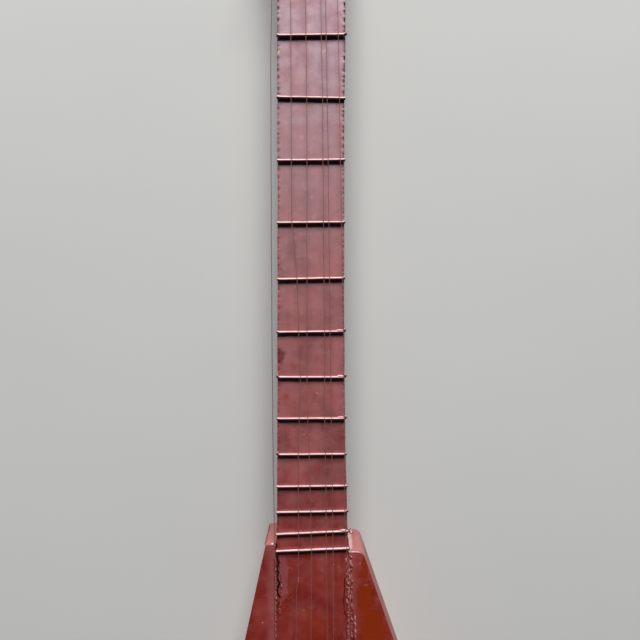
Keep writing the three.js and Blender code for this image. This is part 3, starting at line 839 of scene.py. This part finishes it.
def weld(
    name,
    points,
    width,
    height,
    seed=0.0,
    ripple=2.4,
    stray=0.5,
    jagged=0.0,
    flatter=None,
    material=PAINT_WELD,
    replaces=(),
):
    """A rippled bead along points, given in millimetres, lying on the surface that it joins.

    ripple is how far apart its ripples are, stray and jagged how far it wanders and steps aside, and flatter
    a function that thins it by place.
    """
    path = even_path([Vector(point) for point in points], BEAD_STEP)
    rings = []
    run = 0.0
    for i, (point, side, up) in enumerate(frames_along(path)):
        if i:
            run += (path[i] - path[i - 1]).length
        fade = min(1.0, run / BEAD_END, (len(path) - 1 - i) * BEAD_STEP / BEAD_END) ** 0.5
        step = (run / ripple + 1.1 * drift(run * 0.11, seed, 0.0)) % 1.0
        scale = 0.82 + 0.16 * step**0.8 + 0.5 * drift(run * 0.24, seed, 8.0)
        thin = flatter(point) if flatter else 1.0
        wide = max(0.25, width / 2 * scale) * (0.35 + 0.65 * fade)
        tall = max(0.1, height * scale * thin) * (0.2 + 0.8 * fade)
        middle = point + side * (stray * drift(run * 0.16, seed, 2.0) + jagged * (step - 0.5))
        ring = []
        for k in range(BEAD_SIDES):
            turn = 2 * math.pi * k / BEAD_SIDES
            lump = 1 + 0.16 * drift(run * 0.9, seed + k * 1.7, 0.0)
            across = side * math.cos(turn) * wide * lump
            ring.append((middle + across + up * math.sin(turn) * tall * lump) * MM)
        rings.append(ring)
    bm = bmesh.new()
    loft(bm, rings)
    add_piece(name, mesh_of(bm, name, sharp_degrees=60), material, replaces=replaces)


def dressed(point):
    """The left bead was dressed nearly flat below the shoulder."""
    return 1.0 if point.y > 130 else max(0.35, 1.0 - (130 - point.y) / 60)


def raised(way, across=0.0, z=FRONT):
    """A way of (x, y) at one height, moved across."""
    return [(x + across, y, z) for x, y in way]


# The left seam: a low bead and, just below the shoulder, a stretch that was never filled, where a jagged
# strip of painted shade stands for the black of the crack beside a low ridge.
LEFT_SEAM = [(-37.2, seam_low.y), (-36.9, 40), (-36.7, 100), (-36.7, 130), (-36.4, 152), (-36.6, 165),
             (-37.4, 189)]
RIDGE = [(-32.4, 190), (-32.0, 176), (-30.6, 162), (-31.4, 150), (-32.6, 130)]
CRACK = [(-35.2, 191), (-35.1, 188), (-33.4, 182.5), (-35.0, 177), (-33.6, 172.8), (-35.1, 168),
         (-32.4, 162), (-34.8, 156.5), (-34.2, 152), (-31.8, 147.8)]
CRACK_END = [(-33.4, 143.5), (-33.8, 140), (-35.0, 136), (-34.6, 131)]
# The right seam: two thick beads side by side, a broad low one beside them further down, and a short thin
# crack, drawn as a strip of painted shade.
RIGHT_SEAM = [(36.9, seam_low.y), (36.3, 40), (35.2, 104), (35.6, 120), (35.6, 148), (35.2, 170),
              (35.0, 190)]
RIGHT_FOOT = [(39.4, 140), (40.2, 122), (40.6, 104), (40.0, 70), (39.4, 30)]
CRACK_RIGHT = [(32.8, 168), (32.5, 156), (31.7, 144), (31.9, 136), (33.2, 131), (35.0, 128)]
LEFT_BEAD = ("weld_bead_left",)
RIGHT_BEAD = ("weld_bead_right",)

weld("weld_seam_left", raised(LEFT_SEAM), 3.6, 1.0, 1.0, 5.0, stray=0.4, flatter=dressed, replaces=LEFT_BEAD)
weld("weld_seam_left_lip", raised(RIDGE), 2.2, 0.55, 5.0, 6.0, stray=0.9, jagged=0.8, flatter=dressed)
weld("seam_crack_painted_shade", raised(CRACK, z=70.2), 2.7, 0.75, 9.0, 5.2, stray=0.4, jagged=0.6, material=PAINT_CRACK_SHADE)
weld("weld_seam_right", raised(RIGHT_SEAM), 4.0, 1.0, 2.0, 7.4, stray=0.7, jagged=0.5, replaces=RIGHT_BEAD)
weld("weld_seam_right_lip", raised(RIGHT_SEAM, 3.6), 3.8, 0.85, 7.0, 8.8, stray=1.0, jagged=0.7)
weld("weld_seam_right_foot", raised(RIGHT_FOOT), 7.5, 0.5, 12.0, 9.0, stray=1.2)
weld("seam_crack_end_painted_shade", raised(CRACK_END, z=70.2), 0.9, 0.35, 10.0, 3.6, stray=0.5, jagged=1.0, material=PAINT_CRACK_SHADE)
weld("seam_crack_right_painted_shade", raised(CRACK_RIGHT), 1.0, 0.3, 11.0, material=PAINT_CRACK_SHADE)

# The beads at the neck's foot, up its two sides, and at the left shoulder's corner.
NECK_LEFT = [(-37.0, 201.2, 1), (-37.0, 201.2, 68.8)]
NECK_RIGHT = [(36.6, 194.1, 36), (36.6, 194.1, 66)]
CORNER_LEFT = [(-47.2, 199.4, 2), (-47.2, 199.4, 68)]
# The left one has the walls' paler paint, which paints in the light on it.
weld("weld_neck_left", NECK_LEFT, 3.2, 1.5, 3.0, 5.0, stray=0.2, material=PAINT_WALL)
weld("weld_neck_right", NECK_RIGHT, 3.0, 1.3, 4.0)
weld("weld_corner_left", CORNER_LEFT, 1.6, 0.6, 6.0, stray=0.2)


def make_lumps(count, spacing):
    """Lumps of metal in two rows along the right seam: close together at the shoulder, wider apart below."""
    bm = bmesh.new()
    for k in range(count):
        y = seam_high.y - 4 - spacing * k + 1.3 * drift(k * 0.73, 5.0, 0.0)
        row = 1 if k % 2 else -1
        parted = clamp((152 - y) / 26, 0.0, 1.0)
        spread = 2.1 if y > 176 else 1.1 + 2.3 * parted
        x = 36.4 + 3.3 * parted + row * spread + 0.9 * drift(k * 1.31, 0.0, 7.0)
        size = 1.1 + 0.9 * drift(k * 0.57, 2.0, 3.0)
        blob(bm, (x, y, 70.3), (0.85 * size, 2.3 * size, 0.6 * size), k * 1.7, 0.5)
    name = "weld_seam_right_lumps"
    add_piece(name, mesh_of(bm, name, sharp_degrees=60), PAINT_LUMP)


make_lumps(38, 3.4)

# One bead holds the end plate to the peg box's two walls and floor.
PLATE_JOINT = HEAD_LENGTH + 0.2
END_SEAM = [(-30.8, 0, -1), (-30.8, 0, -33.2), (30.8, 0, -33.2), (30.8, 0, -1)]
end_seam = [HEAD @ (Vector(point) + Vector((0, PLATE_JOINT, 0))) for point in END_SEAM]
weld("weld_end_plate", end_seam, 2.8, 1.4, 13.0, 5.0, stray=0.1)

# Single tacks at the shoulders: centre and radii.
TACKS = [
    ((-39.6, 200.6, 69.4), (1.5, 1.3, 1.1)),
    ((38.7, 195.4, 69.6), (0.9, 3.6, 1.1)),
    ((41.6, 195.0, 12.0), (1.9, 2.2, 6.0)),
    ((48.2, 181.5, 69.8), (0.6, 1.4, 0.3)),
]
tacks = bmesh.new()
for number, (centre, radii) in enumerate(TACKS, 1):
    blob(tacks, centre, radii, float(number))
add_piece("weld_tacks", mesh_of(tacks, "weld_tacks", sharp_degrees=60), PAINT_TACK)

# ---- Frets --------------------------------------------------------------------------------------

# From the body up: how far the rod's left and right ends turn up the neck.
FRET_ENDS = [(0.0, 0.2), (0.0, 0.5), (0.1, 0.9), (0.1, 0.3), (1.4, 0.7), (0.3, 1.6), (1.4, 1.8), (0.7, 1.6),
             (0.4, 0.6), (0.2, 0.6), (0.3, 0.3), (0.3, 0.2), (0.6, 1.2), (0.4, 0.5), (0.5, 0.4)]
# The frets whose right end was run over with weld, which leaves a bright wedge.
WEDGED = (1, 5, 6, 7)
FRET_RADIUS = 1.9
FRET_SIDES = 20
FRET_STEPS = 24  # to each side of the middle
BENT_LENGTH = 3.2  # the part of each end that is bent up the neck


def half_rod(index, side, amount, middle, rise, reach):
    """One half of a fret rod, from the neck's middle out to its end, in metres."""
    half = []
    for k in range(FRET_STEPS + 1):
        x = reach * k / FRET_STEPS
        bend = amount * (max(0.0, x - (reach - BENT_LENGTH)) / BENT_LENGTH) ** 2
        y = middle.y + rise * k / FRET_STEPS + 1.4 * bend + 0.13 * drift(side * x * 0.06, index * 3.1, 0.0)
        z = middle.z - 0.3 + 0.25 * bend + 0.10 * drift(side * x * 0.08, index * 1.7, 6.0)
        half.append(Vector(at(side * x, y, z)))
    return half


def make_fret(index, ends, tacks):
    """A rod with both ends bent up the neck a little. The small tacks of weld on them go into tacks."""
    name = f"fret_{index + 1:02d}"
    low, high = box_of(name)
    middle = (low + high) / 2
    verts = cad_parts[name].data.vertices
    bm = bmesh.new()
    halves = {}
    for side, amount in zip((-1, 1), ends):
        # The CAD rod's own end says which way it is tilted.
        end = [vert.co.y / MM for vert in verts if vert.co.x * side > (half_width(middle.y) - 3.5) * MM]
        rise = sum(end) / len(end) - middle.y
        reach = edge_at(1, middle.y) + 0.7 if side > 0 else 0.2 - edge_at(-1, middle.y)
        halves[side] = half_rod(index, side, amount, middle, rise, reach)
        tack = (side * (reach - 0.9), middle.y + rise + 0.8 * amount + 0.5, middle.z)
        blob(tacks, tack, (0.9 + 0.1 * amount, 0.8 + 0.5 * amount, 1.5), index * 2.0 + side)
        if side > 0 and index in WEDGED:
            wedge = (reach - 5.0, middle.y + rise * 0.85 + 1.0, middle.z - 0.2)
            blob(bm, wedge, (5.5, 1.9, 1.9), index * 3.0, 0.12)
    points = halves[-1][::-1] + halves[1][1:]
    tube(bm, points, lambda t: (FRET_RADIUS + 0.12 * drift(t * 9, index, 2.0)) * MM, FRET_SIDES)
    mesh = mesh_of(bm, name + "_rod", sharp_degrees=60)
    add_piece(name + "_rod", mesh, PAINT_FRET, replaces=(name,))


fret_tacks = bmesh.new()
for index, ends in enumerate(FRET_ENDS):
    make_fret(index, ends, fret_tacks)
add_piece("fret_tacks", mesh_of(fret_tacks, "fret_tacks", sharp_degrees=60), PAINT_TACK)

# ---- Strings ------------------------------------------------------------------------------------

BRIDGE_Y, TAIL_Y, NUT_Y = -35.0, -176.0, 896.5
STRING_AT_BRIDGE, STRING_AT_TAIL, STRING_AT_NUT, DRONE_AT_POST = 82.0, 74.3, 75.2, 67.0
WIRE_RADIUS = 0.31
DRONE_RADIUS = 0.36
WIRE_SIDES = 8
COIL_WIRE_RADIUS = 0.42
COIL_INNER_RADIUS, COIL_RADIUS = 4.32, 4.9  # of its two layers
COIL_LAYER, COIL_TURNS = 5.2, 9  # turns in the first layer, and in all
COIL_STEPS = 24  # to a turn
TWIST_RADIUS = 0.62
TWIST_TURNS = 4.5
TWIST_STEPS = 10  # to a turn
TWIST_SIDES = 6
STRING_STEP = 5.0
STILL_POINTS = 12  # the points at each end of a string's path that don't wander

# Each string's way from the bridge to the nut as (y, x), and the drone string's from the bridge to its post.
STRING_WAYS = {
    "1": [(-35, -16.4), (159, -15.1), (171, -13.1), (292, -13.4), (370, -11.5), (466, -14.7), (523, -19.9),
          (896.5, -22)],
    "2": [(-35, -0.9), (189, -0.4), (248, -1.3), (295, -2.8), (347, -4.8), (638, -5), (742, -6.5),
          (896.5, -8.5)],
    "3": [(-35, 16.6), (200, 14.3), (292, 13.3), (330, 12.6), (381, 12.6), (638, 10.5), (896.5, 6)],
    "4": [(-35, 22.4), (200, 20.9), (292, 19.7), (381, 18.4), (638, 15.3), (742, 13.4), (896.5, 10.8)],
    "5": [(-35, 38.4), (165, 37.2), (195, 34.6), (230, 32.4), (362, 32), (638, 27.3), (896.5, 22.6)],
}
DRONE_WAY = [(-35, -35.4), (195, -36.3), (267, -38.1), (385, -39.5), (500, -40.4), (690, -41.3),
             (800, -39.6)]

# Each peg: its place along the peg box, the side that its key is on (-1 left, 1 right) and the key's angle.
PEGS = {"1": (30, -1, 20), "2": (78, -1, 75), "3": (126, -1, 140), "4": (102, 1, 50), "5": (54, 1, 110)}
PEG_DEPTH = 18.0
# The drone's peg goes through the neck itself.
DRONE_PEG_Y, DRONE_PEG_Z, DRONE_COIL_X = 830, 50, -41.2
DRONE_SEAT = Matrix.Translation((0, DRONE_PEG_Y, DRONE_PEG_Z))


def peg_seat(place):
    """A peg's own frame: its axis is X."""
    return HEAD @ Matrix.Translation((0, place, -PEG_DEPTH))


def end_twist(x):
    """Where the wire's end is twisted round the wire behind the tail bar, in millimetres."""
    twist = []
    for k in range(round(TWIST_TURNS * TWIST_STEPS) + 1):
        turn = k / TWIST_STEPS
        a = 2 * math.pi * turn
        y = TAIL_Y - 5.2 - 0.55 * turn
        across, up = TWIST_RADIUS * math.cos(a), TWIST_RADIUS * math.sin(a)
        twist.append(Vector((x + across, y, STRING_AT_TAIL + up)))
    return twist


def make_string(name, way, end_height, last, radius=WIRE_RADIUS, wire=WIRE):
    """A wire from its knot behind the tail bar, over the bridge and along the neck, to its coil's top."""
    x = way[0][1]
    slope = (end_height - STRING_AT_BRIDGE) / (way[-1][0] - BRIDGE_Y)
    points = [
        Vector((x, TAIL_Y - 5.5, STRING_AT_TAIL)),
        Vector((x, TAIL_Y + 8, STRING_AT_TAIL)),
        Vector((x, BRIDGE_Y - 12, STRING_AT_BRIDGE - 0.7)),
        *[Vector((across, y, STRING_AT_BRIDGE + slope * (y - BRIDGE_Y))) for y, across in way],
        *last,
    ]
    path = even_path(points, STRING_STEP)
    seed = float(sum(map(ord, name)))
    for point in path[STILL_POINTS:-STILL_POINTS]:
        point.x += 0.22 * drift(point.y * 0.021, seed, 0.0) + 0.07 * drift(point.y * 0.11, seed, 3.0)
    bm = bmesh.new()
    tube(bm, [point * MM for point in path], radius * MM, WIRE_SIDES)
    tube(bm, [point * MM for point in end_twist(x)], WIRE_RADIUS * MM, TWIST_SIDES)
    blob(bm, (x, TAIL_Y - 8.2, STRING_AT_TAIL), (1.1, 0.9, 1.1), seed, 0.1)
    add_piece("wire_" + name, mesh_of(bm, "wire_" + name), wire, replaces=("string_" + name,))


def make_coil(name, seat, x):
    """Wire wound on a peg about x: one layer along the peg, then part of a second one back over it."""
    path = []
    for k in range(COIL_TURNS * COIL_STEPS + 1):
        turn = k / COIL_STEPS
        if turn < COIL_LAYER:
            reach, along = COIL_INNER_RADIUS, turn
        else:
            reach, along = COIL_RADIUS, 2 * COIL_LAYER - turn
        a = 2 * math.pi * turn
        place = Vector((x - COIL_LAYER / 2 + along, reach * math.sin(a), reach * math.cos(a)))
        path.append(seat @ place * MM)
    bm = bmesh.new()
    tube(bm, path, COIL_WIRE_RADIUS * MM, WIRE_SIDES)
    mesh = mesh_of(bm, "coil_" + name)
    add_piece("coil_" + name, mesh, WIRE, "tuner_" + name, ("winding_" + name,))


for name, way in STRING_WAYS.items():
    place = PEGS[name][0]
    x = way[-1][1]
    coil_top = HEAD @ Vector((x, place, COIL_RADIUS - PEG_DEPTH))
    make_string(name, way, STRING_AT_NUT, [Vector((x, NUT_Y + 3.5, STRING_AT_NUT)), coil_top])
    make_coil(name, peg_seat(place), x)
drone_coil_top = Vector((DRONE_COIL_X, DRONE_PEG_Y, DRONE_PEG_Z + COIL_RADIUS))
make_string("drone", DRONE_WAY, DRONE_AT_POST, [drone_coil_top], DRONE_RADIUS, DARK_WIRE)
make_coil("drone", DRONE_SEAT, DRONE_COIL_X)

# A short splice in the first string.
splice = bmesh.new()
for k in range(5):
    blob(splice, (-13.4 + 0.15 * (k % 2), 168.0 + 0.8 * k, 80.6), (0.6, 0.5, 0.6), float(k), 0.1)
add_piece("wire_splice", mesh_of(splice, "wire_splice"), WIRE)

# ---- Pegs ---------------------------------------------------------------------------------------

HEAD_WALL, HEAD_KEY = 32.0, 40.0
DRONE_WALL, DRONE_KEY = 32.68, 49.0
PEG_SIDES = 28


def peg_stations(wall, key):
    """Sections along a peg as (how far along, half width, half thickness).

    wall is where the outer face of the wall is, and key where the thumb key starts.
    """
    tail = -(wall + 7.3)
    return [
        (tail, 2.6, 2.6),
        (tail + 0.5, 3.7, 3.7),
        (tail + 1.2, 3.97, 3.97),
        (wall + 0.35, 3.97, 3.97),
        # The flange.
        (wall + 0.4, 5.9, 5.9),
        (wall + 0.8, 6.4, 6.4),
        (wall + 2.3, 6.4, 6.4),
        (wall + 2.8, 5.8, 5.8),
        (wall + 3.1, 4.1, 4.1),
        # The key, hammered flat.
        (key - 1, 3.9, 3.9),
        (key + 1.5, 4.6, 3.4),
        (key + 4, 7.6, 2.5),
        (key + 7, 10.4, 2.0),
        (key + 11, 12.0, 1.8),
        (key + 15, 11.6, 1.75),
        (key + 18.5, 8.8, 1.7),
        (key + 20.8, 5.2, 1.45),
        (key + 21.8, 2.0, 0.9),
    ]


def peg_ring(x, wide, thick):
    """A section of a peg: round, or squarer and a little dented where it is flat."""
    power = 1.0 if wide < thick * 1.05 else 0.8
    ring = []
    for k in range(PEG_SIDES):
        turn = 2 * math.pi * k / PEG_SIDES
        cosine, sine = math.cos(turn), math.sin(turn)
        y = wide * math.copysign(abs(cosine) ** power, cosine)
        z = thick * math.copysign(abs(sine) ** power, sine)
        dent = 1 + (0.03 * drift(x * 0.3, y * 0.2, z) if wide > 7 else 0.0)
        ring.append(Vector((x, y * dent, z * dent)))
    return ring


def make_peg(name, seat, side, angle, wall, key):
    """A steel peg: plain shaft, flange against the wall and a flat thumb key."""
    turned = seat @ Matrix.Rotation(math.radians(angle), 4, "X")
    if side < 0:
        turned = turned @ Matrix.Rotation(math.pi, 4, "Z")
    bm = bmesh.new()
    rings = [peg_ring(*station) for station in peg_stations(wall, key)]
    loft(bm, [[(turned @ point) * MM for point in ring] for ring in rings])
    mesh = mesh_of(bm, "tuner_key_" + name, sharp_degrees=50)
    add_piece("tuner_key_" + name, mesh, PEG_STEEL, "tuner_" + name, ("peg_" + name,))


for name, (place, side, angle) in PEGS.items():
    make_peg(name, peg_seat(place), side, angle, HEAD_WALL, HEAD_KEY)
make_peg("drone", DRONE_SEAT, -1, 65, DRONE_WALL, DRONE_KEY)

# ---- CAD pieces that keep their shape -----------------------------------------------------------


def bare_node(node, rounding):
    """A CAD piece that keeps its shape, in bare steel and with its edges rounded this many millimetres."""
    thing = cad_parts[node]
    thing.data.materials.clear()
    thing.data.materials.append(BARE_STEEL)
    # Its faces come apart from each other, and an edge is rounded only where two are joined.
    thing.modifiers.new("joined_corners", "WELD").merge_threshold = 0.01 * MM
    bevel = thing.modifiers.new("rounded_edges", "BEVEL")
    bevel.width = rounding * MM
    bevel.segments = 3
    bevel.limit_method = "ANGLE"
    bevel.angle_limit = CORNER_ANGLE
    thing.modifiers.new("even_shading", "WEIGHTED_NORMAL")


for node in ("nut", "bridge_table", "bridge_leg_left", "bridge_leg_right", "tailpiece"):
    bare_node(node, 0.45)
bare_node("drone_post", 0.25)
for name in (*PEGS, "drone"):
    bare_node("peg_collar_" + name, 0.3)
